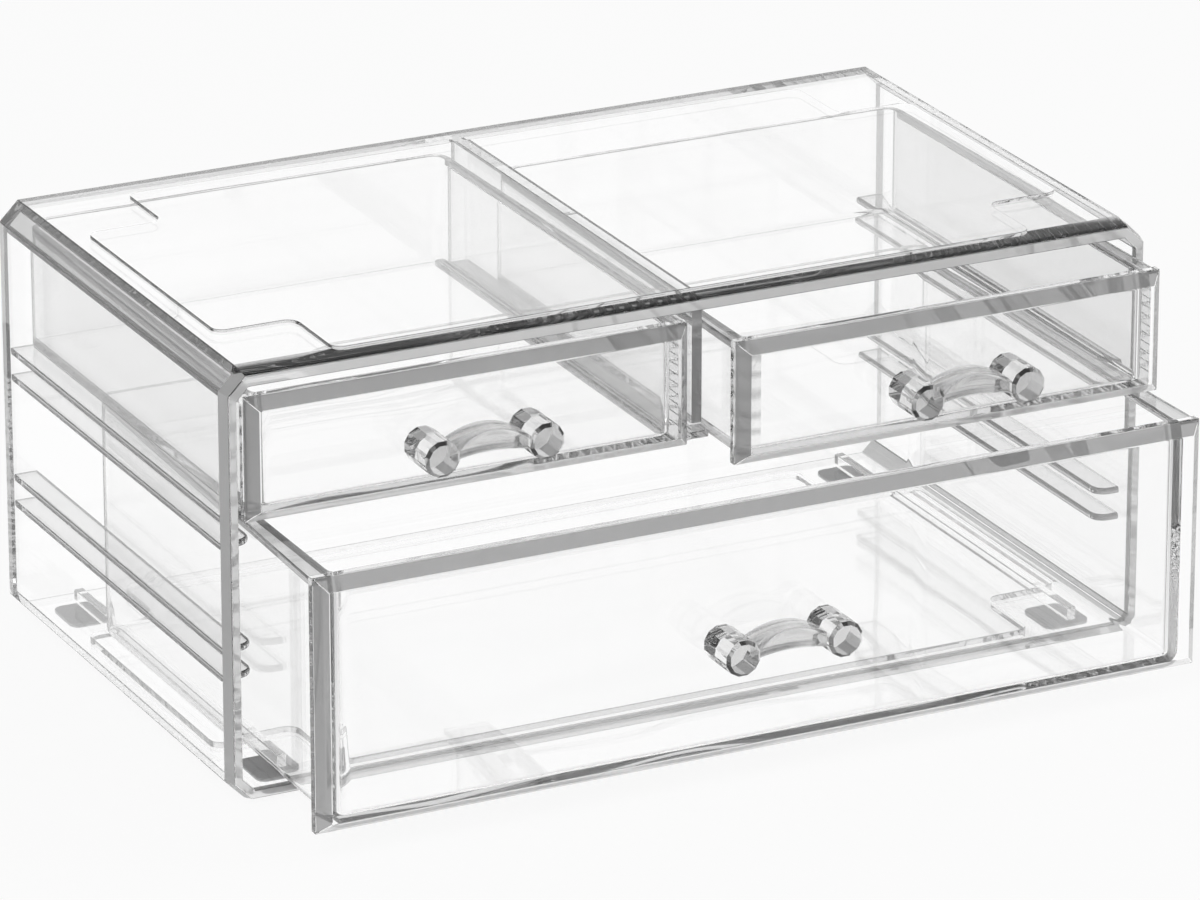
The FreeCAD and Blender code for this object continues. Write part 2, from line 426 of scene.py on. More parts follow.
def feed(tree: Tree, node: Node, inputs: Inputs) -> None:
    """Give a node's inputs their values, or link them to other nodes' outputs.

    Args:
        tree: The node tree.
        node: The node.
        inputs: A value or an output for each input.
    """
    for key, value in inputs.items():
        if isinstance(value, Socket):
            tree.links.new(value, node.inputs[key])
        else:
            node.inputs[key].default_value = value


def add_node(tree: Tree, kind: str, inputs: Inputs | None = None, **settings: str) -> Node:
    """Add a node to a tree.

    Args:
        tree: The node tree.
        kind: The node's type.
        inputs: What its inputs are fed with.
        settings: What else is set on it.

    Returns:
        The new node.
    """
    node = tree.nodes.new(f"ShaderNode{kind}")
    for setting, value in settings.items():
        setattr(node, setting, value)
    feed(tree, node, inputs or {})
    return node


# ---------------- finish and painted shade


@dataclass(frozen=True)
class Grade:
    """How one finish, with the shade painted into its tone, differs from a flat, fully clear face.

    Attributes:
        tone: How much of the light gets past the face, from 0 to 1; below 1 it is painted shade.
        satin: How rough the face is.
        haze: The share of the light that the face scatters.
        wave_scale: How close together the waves of the moulded face are.
        wave_height: How high its waves are.
        shade_band_scale: How close together its darker painted shade bands are, with none at 0.
        shade_band_tone: The tone of its painted shade bands.
    """

    tone: float = 1.0
    satin: float = 0.0
    haze: float = 0.0
    wave_scale: float = 24.0
    wave_height: float = 0.0
    shade_band_scale: float = 0.0
    shade_band_tone: float = 1.0


@dataclass(frozen=True)
class ClearPlastic:
    """Clear moulded plastic with one finish and the shade painted into its tone, which dims light
    along its way through.

    Attributes:
        name: The material's name.
        grade: Its finish.
        bend: How strongly it bends light.
        dimming: How fast it dims light, per metre.
        lift: How far its palest parts are over the finish's tone.
        least_mottle: How far its tone varies where it has no haze.
        haze_mottle: How much more its tone varies with full haze.
        mottle_stops: Between which heights of the waves the tone varies.
        shade_band_stops: Between which heights of the painted shade bands the tone varies.
        shade_band_bend: How uneven the painted shade bands are.
        shade_band_bend_scale: How close together the painted shade bands' bends are.
    """

    name: str
    grade: Grade
    bend: float = 1.49
    dimming: float = 2.0
    lift: float = 1.05
    least_mottle: float = 0.002
    haze_mottle: float = 0.08
    mottle_stops: tuple[float, float] = (0.3, 0.7)
    shade_band_stops: tuple[float, float] = (0.0, 0.7)
    shade_band_bend: float = 4.0
    shade_band_bend_scale: float = 1.5

    def make(self) -> Material:
        """Build the material.

        Returns:
            The node material, ready to be put on a piece.
        """
        material = bpy.data.materials.new(self.name)
        material.use_nodes = True
        tree = material.node_tree
        place = add_node(tree, "TexCoord").outputs["Object"]
        waves = self.add_waves(tree, place)
        bump = {"Strength": 1.0, "Distance": self.grade.wave_height, "Height": waves}
        surface = {
            "Transmission Weight": 1.0 - self.grade.haze,
            "Roughness": self.grade.satin,
            "IOR": self.bend,
            "Normal": add_node(tree, "Bump", bump).outputs["Normal"],
            "Base Color": self.add_tone(tree, place, waves),
        }
        feed(tree, tree.nodes["Principled BSDF"], surface)
        inside = add_node(tree, "VolumeAbsorption", {"Color": BLACK, "Density": self.dimming})
        feed(tree, tree.nodes["Material Output"], {"Volume": inside.outputs["Volume"]})
        return material

    def add_waves(self, tree: Tree, place: Socket) -> Socket:
        """Add the slow waves of a moulded face."""
        inputs = {"Scale": self.grade.wave_scale, "Detail": 1.0, "Vector": place}
        return add_node(tree, "TexNoise", inputs).outputs["Fac"]

    def add_shade_bands(self, tree: Tree, place: Socket) -> Socket:
        """Add uneven bands of painted shade, one above another, for the shade of a rippled face.

        Args:
            tree: The material's nodes.
            place: Where on the piece a point lies.

        Returns:
            How dark the painted shade is there.
        """
        inputs = {
            "Scale": self.grade.shade_band_scale,
            "Distortion": self.shade_band_bend,
            "Detail": 1.0,
            "Detail Scale": self.shade_band_bend_scale,
            "Vector": place,
        }
        return add_node(tree, "TexWave", inputs, bands_direction="Z").outputs["Fac"]

    def add_tone(self, tree: Tree, place: Socket, waves: Socket) -> Socket:
        """Add the tone, which paints shade, varied by its painted shade bands or else slightly and
        at random by its waves.

        Args:
            tree: The material's nodes.
            place: Where on the piece a point lies.
            waves: How high the waves are there.

        Returns:
            The tone there.
        """
        # Below 1, the tone paints shade into the face's colour.
        palest = min(1.0, self.grade.tone * self.lift)
        if self.grade.shade_band_scale:
            pattern, stops = self.add_shade_bands(tree, place), self.shade_band_stops
            darkest = self.grade.shade_band_tone
        else:
            pattern, stops = waves, self.mottle_stops
            darkest = palest * (1.0 - self.least_mottle - self.haze_mottle * self.grade.haze)
        shade = add_node(tree, "ValToRGB", {"Fac": pattern})
        for stop, position, tone in zip(shade.color_ramp.elements, stops, (darkest, palest)):
            stop.position = position
            stop.color = (tone, tone, tone, 1.0)
        return shade.outputs["Color"]


# Tones below 1 are painted shade: they stand in for the grey and dark that the surroundings give
# these faces through clear plastic.
CASE_GRADES = {
    FinishAndPaintedShade.CLEAR: Grade(wave_height=0.00001),
    FinishAndPaintedShade.EDGE: Grade(tone=0.45, haze=0.15),
    FinishAndPaintedShade.NOSE: Grade(tone=0.3, haze=0.5),
    FinishAndPaintedShade.STRIP: Grade(haze=0.45),
    FinishAndPaintedShade.LINE: Grade(tone=0.2, haze=0.5),
    FinishAndPaintedShade.TONGUE: Grade(tone=0.75),
    FinishAndPaintedShade.WALL: Grade(tone=0.8),
    FinishAndPaintedShade.RIM: Grade(tone=0.62, satin=0.35, haze=0.6),
    FinishAndPaintedShade.CHAMFER: Grade(tone=0.7, haze=0.2),
    FinishAndPaintedShade.BACK: Grade(tone=0.34, haze=0.5),
    FinishAndPaintedShade.BROW: Grade(tone=0.7, haze=0.08),
    FinishAndPaintedShade.BROW_LINE: Grade(tone=0.4),
}
# Tones below 1 are painted shade here too; the fillet's bands paint the shade of its ripples, and
# the near black on post facets is a painted dark reflection.
DRAWER_GRADES = {
    FinishAndPaintedShade.CLEAR: Grade(wave_scale=11.0, wave_height=0.0005),
    FinishAndPaintedShade.TOP_BEVEL: Grade(tone=0.42, haze=0.5),
    FinishAndPaintedShade.FAR_BEVEL: Grade(tone=0.4, haze=0.2),
    FinishAndPaintedShade.SIDE_BEVEL: Grade(tone=0.36, haze=0.6),
    FinishAndPaintedShade.EDGE: Grade(tone=0.5, haze=0.3),
    FinishAndPaintedShade.WALL: Grade(tone=0.91),
    FinishAndPaintedShade.FILLET: Grade(
        wave_scale=160.0, wave_height=0.00003, shade_band_scale=52.0, shade_band_tone=0.45
    ),
    FinishAndPaintedShade.LIP: Grade(haze=0.08),
    FinishAndPaintedShade.UNDER: Grade(haze=0.5),
    FinishAndPaintedShade.POST: Grade(tone=0.94),
    FinishAndPaintedShade.GLINT: Grade(tone=0.04, haze=0.8),
    FinishAndPaintedShade.BOW: Grade(tone=0.7, satin=0.12),
}
# The small drawers' walls get a darker painted shade.
SMALL_DRAWER_GRADES = DRAWER_GRADES | {FinishAndPaintedShade.WALL: Grade(tone=0.74)}


def clear_finishes_and_shades(owner: str, grades: dict[FinishAndPaintedShade, Grade]) -> FinishAndShadeMaterials:
    """Build each finish, with the shade painted into its tone, for one kind of body.

    Args:
        owner: Which kind of body they are for.
        grades: What each finish is like.

    Returns:
        The material of each finish.
    """
    return {
        finish: ClearPlastic(f"{owner}_plastic_{finish.value}", grade).make()
        for finish, grade in grades.items()
    }


def mark_finishes_and_shades(
    moulding: Piece, finish_and_shade_at: Callable[[Vector, Vector], FinishAndPaintedShade], finishes_and_shades: FinishAndShadeMaterials
) -> None:
    """Give each face of a moulding its finish and painted shade.

    Args:
        moulding: The moulding, dressed in every finish and painted shade.
        finish_and_shade_at: Chooses a finish and painted shade by a face's place and normal.
        finishes_and_shades: The moulding's finish and painted shade materials, in the order of its
            material slots.
    """
    slots = list(finishes_and_shades)
    for face in moulding.data.polygons:
        face.material_index = slots.index(finish_and_shade_at(face.center, face.normal))


@dataclass(frozen=True)
class PadRubber:
    """Soft grey foot pad with a fine grain and a slightly uneven colour and gloss.

    Attributes:
        name: The material's name.
        bend: How strongly it bends light.
        palest: Its palest tone.
        darkest: Its darkest tone.
        coolness: How much stronger its blue is than its red and green.
        glossiest: Its least roughness.
        mattest: Its greatest roughness.
        cloud_scale: How close together its clouds of tone and gloss are.
        grain_scale: How close together its grains are.
        grain_height: How high they are.
    """

    name: str = "grey_foot_pad"
    bend: float = 1.42
    palest: float = 0.68
    darkest: float = 0.54
    coolness: float = 1.015
    glossiest: float = 0.42
    mattest: float = 0.68
    cloud_scale: float = 160.0
    grain_scale: float = 2600.0
    grain_height: float = 0.00004

    def make(self) -> Material:
        """Build the material.

        Returns:
            The node material, ready to be put on a piece.
        """
        material = bpy.data.materials.new(self.name)
        material.use_nodes = True
        tree = material.node_tree
        place = add_node(tree, "TexCoord").outputs["Object"]
        cloudy = {"Scale": self.cloud_scale, "Detail": 3.0, "Vector": place}
        clouds = add_node(tree, "TexNoise", cloudy).outputs["Fac"]
        grain = add_node(tree, "TexNoise", {"Scale": self.grain_scale, "Vector": place})
        shade = add_node(tree, "ValToRGB", {"Fac": clouds})
        for stop, tone in zip(shade.color_ramp.elements, (self.darkest, self.palest)):
            stop.color = (tone, tone, tone * self.coolness, 1.0)
        gloss = {"To Min": self.glossiest, "To Max": self.mattest, "Value": clouds}
        bump = {"Distance": self.grain_height, "Height": grain.outputs["Fac"]}
        surface = {
            "IOR": self.bend,
            "Base Color": shade.outputs["Color"],
            "Roughness": add_node(tree, "MapRange", gloss).outputs["Result"],
            "Normal": add_node(tree, "Bump", bump).outputs["Normal"],
        }
        feed(tree, tree.nodes["Principled BSDF"], surface)
        return material


# ---------------- mouldings


@dataclass
class DrawerMoulding:
    """One drawer: thick bevelled front, tub with lips, and its handle, in one moulding.

    Attributes:
        body: Which drawer it is.
        bottom_radius: Round of the tub's outer bottom edges.
        overhang: How far a lip reaches past its wall at the front.
        panel_bevel: Width of the front panel's bevels.
        wall: Thickness of the tub's walls.
        floor: Thickness of its floor.
        back_radius: Round of its two back corners.
        front_inner_radius: Round of its two front corners, inside.
        floor_radius: Round between its walls and floor, inside.
        lip_thickness: Thickness of its lips.
        lip_back_width: How far a lip reaches past its wall at the back.
        lip_round: Round of the lips' edges.
        edge_round: Round of the panel's and the rim's sharp edges.
        post_radius: Radius of a handle post.
        post_sides: How many facets it has.
        post_bevel: Bevel round its free end.
        facet_turn: Turn from one facet to the next, in degrees.
        painted_reflection_lean: How far forward a facet looks where it gets the painted dark
            reflection.
        bow_root: Thickness of the bow at its ends.
        bow_top_rise: How far its top arches up.
        bow_low_rise: How far its underside arches up.
        bow_width: Its width from front to back.
        bow_round: Round of its long edges.
        bow_columns: How many flats its arch has.
        bow_gap: The gap between the bow and the panel.
        bow_drop: How far its ends lie under the posts' middle.
        embed: How deep one part is rooted in another.
    """

    body: Body
    bottom_radius: float
    overhang: float = 0.00284
    panel_bevel: float = 0.0038
    wall: float = 0.0020
    floor: float = 0.0022
    back_radius: float = 0.0050
    front_inner_radius: float = 0.0040
    floor_radius: float = 0.0015
    lip_thickness: float = 0.0024
    lip_back_width: float = 0.0005
    lip_round: float = 0.0005
    edge_round: float = 0.00022
    post_radius: float = 0.0057
    post_sides: int = 12
    post_bevel: float = 0.0010
    facet_turn: float = 30.0
    painted_reflection_lean: tuple[float, float] = (0.2, 0.95)
    bow_root: float = 0.0024
    bow_top_rise: float = 0.0070
    bow_low_rise: float = 0.0026
    bow_width: float = 0.0102
    bow_round: float = 0.0017
    bow_columns: int = 16
    bow_gap: float = 0.0028
    bow_drop: float = 0.0037
    embed: float = 0.0010

    def node(self, part: str) -> str:
        """The name of one of this drawer's solids."""
        return f"{self.body.value}_{part}"

    def build_front(self) -> Piece:
        """Shape the thick front panel with its four bevels.

        Returns:
            The panel.
        """
        low, high = corners(self.node("front"))
        panel = start_block(f"{self.body.value}_moulding", low, high)
        bevel_edges(panel, at(y=low.y), self.panel_bevel)
        bevel_edges(panel, lambda edge: True, self.edge_round, Steps.EDGE)
        return panel

    def build_tub(self) -> Piece:
        """Shape the open tub, with its front wall inside the panel.

        Returns:
            The tub.
        """
        low, high = corners(self.node("tub"))
        start = low.y
        tub = start_block(
            "tub",
            (low.x + self.overhang, start - self.wall + SNUG, low.z),
            (high.x - self.overhang, high.y, high.z),
        )
        bevel_edges(
            tub,
            lambda edge: runs_along(edge, Axis.Z) and lies_at(edge, Axis.Y, high.y),
            self.back_radius,
            Steps.CORNER,
        )
        inset_face(tub, at(z=high.z), self.wall)
        depth = high.z - low.z - self.floor
        inner = high.x - self.overhang - self.wall
        centre = (low.x + high.x) / 2.0
        # Only the mouth has more than four corners: the rim's faces have four.
        pull_face(
            tub,
            lambda face: lies_at(face, Axis.Z, high.z)
            and abs(middle(face).x - centre) < TINY
            and len(face.verts) > 4,
            (0.0, 0.0, -depth),
        )
        bevel_edges(
            tub,
            lambda edge: runs_along(edge, Axis.Z)
            and abs(middle(edge).y - start) < 2.0 * SNUG
            and abs(abs(middle(edge).x - centre) - (inner - centre)) < TINY,
            self.front_inner_radius,
            Steps.CORNER,
        )
        bevel_edges(tub, at(z=low.z + self.floor), self.floor_radius, Steps.FILLET)
        bevel_edges(
            tub,
            lambda edge: lies_at(edge, Axis.Z, low.z) and middle(edge).y > start,
            self.bottom_radius,
            Steps.ROUND,
        )
        bevel_edges(tub, at(z=high.z), self.edge_round, Steps.EDGE)
        return tub

    def build_lip(self, sign: int) -> Piece:
        """Shape the flat lip beside one wall, narrowing towards the back.

        Args:
            sign: -1 for the left wall, 1 for the right one.

        Returns:
            The lip.
        """
        low, high = corners(self.node("tub"))
        edge_x = (high.x if sign > 0 else low.x) - sign * SNUG
        wall_x = edge_x - sign * self.overhang
        root_x = wall_x - sign * self.wall / 2.0
        top = high.z - SNUG
        back = high.y - self.back_radius
        lip = start_block(
            "lip",
            (min(edge_x, root_x), low.y - self.embed, top - self.lip_thickness),
            (max(edge_x, root_x), back, top),
        )
        taper = -sign * (self.overhang - self.lip_back_width)
        shift_corners(
            lip,
            lambda place: abs(place.x - edge_x) < TINY and abs(place.y - back) < TINY,
            (taper, 0.0, 0.0),
        )
        bevel_edges(
            lip,
            lambda edge: not lies_at(edge, Axis.X, root_x) and not runs_along(edge, Axis.X),
            self.lip_round,
            Steps.EDGE,
        )
        return lip

    def build_post(self, side: str) -> Piece:
        """Shape one faceted handle post, rooted in the panel.

        Args:
            side: Which of the two it is, left or right.

        Returns:
            The post.
        """
        low, high = corners(self.node(f"handle_{side}_post"))
        centre = (low + high) / 2.0
        clear_selection()
        length = high.y - low.y + self.embed
        bpy.ops.mesh.primitive_cylinder_add(
            vertices=self.post_sides,
            radius=self.post_radius,
            depth=length,
            location=(centre.x, low.y + length / 2.0, centre.z),
            rotation=(math.pi / 2.0, math.pi / self.post_sides, 0.0),
        )
        post = bpy.context.object
        bpy.ops.object.transform_apply(location=True, rotation=True, scale=True)
        bevel_edges(post, at(y=low.y), self.post_bevel)
        return post

    def build_bow(self) -> Piece:
        """Shape the arched grip between the two posts, thicker in the middle.

        Returns:
            The bow.
        """
        left, right = (
            sum(corners(self.node(f"handle_{side}_post")), Vector()) / 2.0 for side in SIDES
        )
        near = corners(self.node("front"))[0].y - self.bow_gap
        centre = (left.x + right.x) / 2.0
        half = (right.x - left.x) / 2.0
        reach = half - self.post_radius / 2.0
        low_z = left.z - self.bow_drop
        top_z = low_z + self.bow_root
        bow = start_block(
            "bow",
            (centre - reach, near - self.bow_width, low_z),
            (centre + reach, near, top_z),
        )
        places = [
            centre + reach * (2.0 * column / self.bow_columns - 1.0)
            for column in range(self.bow_columns + 1)
        ]
        for place in places[1:-1]:
            slice_across(bow, Axis.X, place)
        for level, rise in ((top_z, self.bow_top_rise), (low_z, self.bow_low_rise)):
            for place in places:
                lift = rise * (1.0 - ((place - centre) / half) ** 2)
                shift_corners(
                    bow,
                    lambda corner: abs(corner.x - place) < TINY and abs(corner.z - level) < TINY,
                    (0.0, 0.0, lift),
                )
        bevel_edges(
            bow,
            lambda edge: not runs_along(edge, Axis.Y) and not runs_along(edge, Axis.Z),
            self.bow_round,
            Steps.ROUND,
        )
        return bow

    def build(self, finishes_and_shades: FinishAndShadeMaterials) -> Piece:
        """Weld the drawer together and dress it.

        Args:
            finishes_and_shades: The material of each finish and painted shade.

        Returns:
            The finished moulding.
        """
        moulding = weld(
            self.build_front(),
            self.build_tub(),
            *(self.build_lip(sign) for sign in (-1, 1)),
            *(self.build_post(side) for side in SIDES),
            self.build_bow(),
        )
        true_up(moulding)
        dress(moulding, list(finishes_and_shades.values()))
        mark_finishes_and_shades(moulding, self.finish_and_shade_at, finishes_and_shades)
        parts = ("front", "tub", "handle_left_post", "handle_right_post", "handle_bow")
        stands_for(moulding, self.body, [self.node(part) for part in parts])
        return moulding

    def finish_and_shade_at(self, place: Vector, normal: Vector) -> FinishAndPaintedShade:
        """Choose the finish and painted shade of a face by where it lies and which way it looks.

        Args:
            place: The face's centre.
            normal: The way it looks.

        Returns:
            Its finish and painted shade.
        """
        front = corners(self.node("front"))[0].y
        tub_start = corners(self.node("tub"))[0].y
        if place.y < front - TINY:
            return self.handle_shade(place, normal)
        if abs(normal.y + SLANT) < SLANT_SLACK and place.y < front + self.panel_bevel:
            return self.bevel_finish_and_shade(normal)
        if place.y < tub_start + TINY:
            return FinishAndPaintedShade.CLEAR
        return self.tub_finish_and_shade(place, normal)

    def handle_shade(self, place: Vector, normal: Vector) -> FinishAndPaintedShade:
        """Choose the painted shade of a face of the handle, where every other facet gets a
        near-black painted reflection.

        Args:
            place: The face's centre.
            normal: The way it looks.

        Returns:
            Its painted shade.
        """
        if not self.is_on_post(place):
            return FinishAndPaintedShade.BOW
        # Every other forward-looking facet of a post is painted near black, as a painted dark
        # reflection.
        facet = math.floor(math.degrees(math.atan2(normal.z, normal.x)) / self.facet_turn)
        least, most = self.painted_reflection_lean
        return FinishAndPaintedShade.GLINT if least < -normal.y < most and facet % 2 else FinishAndPaintedShade.POST

    def is_on_post(self, place: Vector) -> bool:
        """True if a place on the handle is on one of its posts.

        Args:
            place: The place.

        Returns:
            Whether it is.
        """
        for side in SIDES:
            centre = sum(corners(self.node(f"handle_{side}_post")), Vector()) / 2.0
            if math.hypot(place.x - centre.x, place.z - centre.z) < self.post_radius + TINY:
                return True
        return False

    def bevel_finish_and_shade(self, normal: Vector) -> FinishAndPaintedShade:
        """Choose the painted shade of one of the front panel's four bevels, or the plain haze of
        the lower one.

        Args:
            normal: The way the bevel looks.

        Returns:
            Its finish and painted shade.
        """
        if abs(normal.z) > MOSTLY:
            return FinishAndPaintedShade.TOP_BEVEL if normal.z > 0.0 else FinishAndPaintedShade.UNDER
        return FinishAndPaintedShade.SIDE_BEVEL if normal.x < -MOSTLY else FinishAndPaintedShade.FAR_BEVEL

    def tub_finish_and_shade(self, place: Vector, normal: Vector) -> FinishAndPaintedShade:
        """Choose the finish and painted shade of a face of the tub or its lips.

        Args:
            place: The face's centre.
            normal: The way it looks.

        Returns:
            Its finish and painted shade.
        """
        low, high = corners(self.node("tub"))
        centre = (low.x + high.x) / 2.0
        reach = abs(place.x - centre)
        wall_in = (high.x - low.x) / 2.0 - self.overhang - self.wall
        floor_top = low.z + self.floor
        near_front = place.y < low.y + self.front_inner_radius + TINY
        if place.z > high.z - self.lip_thickness - TINY and reach > wall_in - TINY:
            return FinishAndPaintedShade.LIP if abs(normal.z) > SQUARE else FinishAndPaintedShade.EDGE
        if place.z > high.z - self.edge_round - TINY and abs(normal.z) < SQUARE:
            return FinishAndPaintedShade.EDGE
        if near_front and reach < wall_in + TINY and LEANING < abs(normal.x) < ALMOST_SQUARE:
            # The right drawer's front inner round beside the divider gets ripple bumps and painted
            # shade bands.
            rippled_and_shaded = self.body is Body.RIGHT and place.x < centre and abs(normal.z) < UPRIGHT
            return FinishAndPaintedShade.FILLET if rippled_and_shaded else FinishAndPaintedShade.CLEAR
        on_floor_round = floor_top < place.z < floor_top + self.floor_radius
        if near_front and normal.y > LEANING and on_floor_round:
            return FinishAndPaintedShade.LIP
        outer = self.body is Body.TALL or place.x * (place.x - centre) > 0.0
        return FinishAndPaintedShade.WALL if outer and abs(normal.x) > SQUARE else FinishAndPaintedShade.CLEAR


def tongues(side: str) -> list[str]:
    """The runners and guides on one side of the case, from the top down."""
    return [f"{side}_{tier}_{kind}" for tier in ("upper", "lower") for kind in ("runner", "guide")]


@dataclass
class CaseMoulding:
    """The case: bevelled tube with rim and back, stacking step, runners and divider.

    Attributes:
        side_wall: Thickness of the case's sides and bottom.
        top_drop: How much thicker the top is.
        back_wall: Thickness of the back.
        corner_bevel: Width of the four long bevels.
        rim_depth: Length of the front rim, from front to back.
        rim_inset: How far the rim draws in towards the front.
        rim_lean: How far forward the rim's faces look.
        brow_cut: Width of the flat slope where the top meets the rim.
        brow_lean: How far forward that slope looks.
        crisp_angle: The shell's edges that bend more than this are rounded.
        round_turn: How far round from a flat the rounds beside the bevels look, in degrees.
        step_height: Height of the stacking step.
        step_side: How far the step stands in from the sides.
        step_front: How far it stands in from the front.
        step_back: How far it stands in from the back.
        notch_width: Width of the notches at its corners.
        notch_depth: Their length, from front to back.
        corner_angle: Corners of the step that bend more than this are rounded.
        step_radius: Round of its corners.
        step_clearance: Play between a step and the recess it stands in.
        tip_radius: Round of a runner's free front corner.
        tongue_round: Round of its edges.
        tongue_facing: A normal's least vertical share on its flats.
        nose_rise: How far above its foot the divider's free nose starts.
        nose_radius: Round of the nose's lower end.
        web_root: Half the width of the divider's root under the top.
        root_height: Height of that root.
        edge_round: Round of sharp edges.
        embed: How deep one part is rooted in another.
        low: The lowest corner of the case.
        high: Its highest corner, without the step.
    """

    side_wall: float = 0.0038
    top_drop: float = 0.0008
    back_wall: float = 0.0032
    corner_bevel: float = 0.0062
    rim_depth: float = 0.0048
    rim_inset: float = 0.0012
    rim_lean: tuple[float, float] = (0.1, 0.4)
    brow_cut: float = 0.0029
    brow_lean: tuple[float, float] = (0.01, 0.2)
    crisp_angle: float = math.radians(9.0)
    round_turn: tuple[float, float] = (3.0, 42.0)
    step_height: float = 0.0009
    step_side: float = 0.0120
    step_front: float = 0.0053
    step_back: float = 0.0118
    notch_width: float = 0.0250
    notch_depth: float = 0.0280
    corner_angle: float = 1.0
    step_radius: float = 0.0040
    step_clearance: float = 0.0004
    tip_radius: float = 0.0050
    tongue_round: float = 0.0009
    tongue_facing: float = 0.95
    nose_rise: float = 0.0070
    nose_radius: float = 0.0014
    web_root: float = 0.0024
    root_height: float = 0.0007
    edge_round: float = 0.00025
    embed: float = 0.0010
    low: Vector = field(init=False)
    high: Vector = field(init=False)

    def __post_init__(self) -> None:
        """Read the case's outer box."""
        self.low, self.high = corners("case_shell")
        self.high.z -= self.step_height

    def build_shell(self) -> Piece:
        """Shape the bevelled tube, its front rim and its closed back.

        Returns:
            The shell.
        """
        low, high = self.low, self.high
        rim_start = low.y + self.rim_depth
        shell = start_block("case_moulding", (low.x, rim_start, low.z), high)
        bevel_edges(shell, lambda edge: runs_along(edge, Axis.Y), self.corner_bevel)
        inset_face(shell, at(y=rim_start), self.rim_inset, self.rim_depth)
        inset_face(shell, at(y=low.y), self.side_wall - self.rim_inset)
        inner_x = high.x - self.side_wall
        hollow = high.y - self.back_wall - low.y
        # Only the mouth has eight corners: the rim's faces have four.
        pull_face(
            shell,
            lambda face: lies_at(face, Axis.Y, low.y) and len(face.verts) == 8,
            (0.0, hollow, 0.0),
        )
        centre_z = (low.z + high.z) / 2.0
        shift_corners(
            shell,
            lambda place: abs(place.x) < inner_x + TINY
            and centre_z < place.z < high.z - self.side_wall + TINY
            and place.y < high.y - TINY,
            (0.0, 0.0, -self.top_drop),
        )
        bevel_edges(shell, at(y=rim_start, z=high.z), self.brow_cut)
        bevel_edges(
            shell,
            lambda edge: edge.calc_face_angle(math.pi) > self.crisp_angle,
            self.edge_round,
            Steps.EDGE,
        )
        return shell

    def build_step(self, name: str, growth: float, z_low: float, z_high: float) -> Piece:
        """Shape the notched step.

        Args:
            name: What to call it.
            growth: How much larger it is all round than the top step.
            z_low: Its lower face.
            z_high: Its upper face.

        Returns:
            The step as a block with notched, rounded corners.
        """
        x_edge = self.high.x - self.step_side + growth
        x_notch = x_edge - self.notch_width
        y_front = self.low.y + self.step_front - growth
        y_back = self.high.y - self.step_back + growth
        y_notches = (y_front + self.notch_depth, y_back - self.notch_depth)
        step = start_block(name, (-x_notch, y_front, z_low), (x_notch, y_back, z_high))
        for place in y_notches:
            slice_across(step, Axis.Y, place)
        for sign in (-1, 1):
            pull_face(
                step,
                lambda face: lies_at(face, Axis.X, sign * x_notch)
                and y_notches[0] < middle(face).y < y_notches[1],
                (sign * self.notch_width, 0.0, 0.0),
            )
        bevel_edges(
            step,
            lambda edge: runs_along(edge, Axis.Z) and edge.calc_face_angle() > self.corner_angle,
            self.step_radius,
            Steps.CORNER,
        )
        return step

    def build_tongue(self, node: str) -> Piece:
        """Shape one runner tongue, rooted in its side wall, with its free front tip rounded.

        Args:
            node: The solid it stands for.

        Returns:
            The tongue.
        """
        low, high = corners(node)
        sign = 1 if low.x > 0.0 else -1
        tip_x = low.x if sign > 0 else high.x
        if sign > 0:
            high.x += self.embed
        else:
            low.x -= self.embed
        tongue = start_block(node, low, high)
        bevel_edges(tongue, at(x=tip_x, y=low.y), self.tip_radius, Steps.CORNER)
        root_x = high.x if sign > 0 else low.x
        bevel_edges(
            tongue,
            lambda edge: not lies_at(edge, Axis.X, root_x),
            self.tongue_round,
            Steps.FILLET,
        )
        return tongue

    def build_divider(self) -> Piece:
        """Shape the web between the small drawers with its raised nose and its shelves.

        Returns:
            The divider with its shelves.
        """
        low, high = corners("centre_divider")
        shelf_low, shelf_high = corners("right_divider_shelf")
        web = start_block("web", low, (high.x, high.y + self.embed, high.z + self.embed))
        nose_z = low.z + self.nose_rise
        under = start_block(
            "under_nose",
            (2.0 * low.x, low.y - self.embed, low.z - self.embed),
            (2.0 * high.x, shelf_low.y, nose_z),
        )
        cut_out(web, under)
        bevel_edges(web, at(y=low.y, z=nose_z), self.nose_radius, Steps.FILLET)
        shelf = start_block(
            "shelf",
            (-shelf_high.x, shelf_low.y + SNUG, low.z - SNUG),
            (shelf_high.x, shelf_high.y + self.embed, shelf_high.z),
        )
        bevel_edges(
            shelf,
            lambda edge: not lies_at(edge, Axis.Y, shelf_high.y + self.embed),
            self.edge_round,
        )
        root = start_block(
            "web_root",
            (-self.web_root, low.y + self.embed, high.z - self.root_height),
            (self.web_root, high.y + self.embed, high.z + self.embed / 2.0),
        )
        return weld(web, shelf, root)

    def build_floor_runner(self, node: str) -> Piece:
        """Shape one low strip on the floor.

        Args:
            node: The solid it stands for.

        Returns:
            The strip.
        """
        low, high = corners(node)
        strip = start_block(node, (low.x, low.y, low.z - self.embed), high)
        bevel_edges(strip, at(z=high.z), self.edge_round)
        return strip

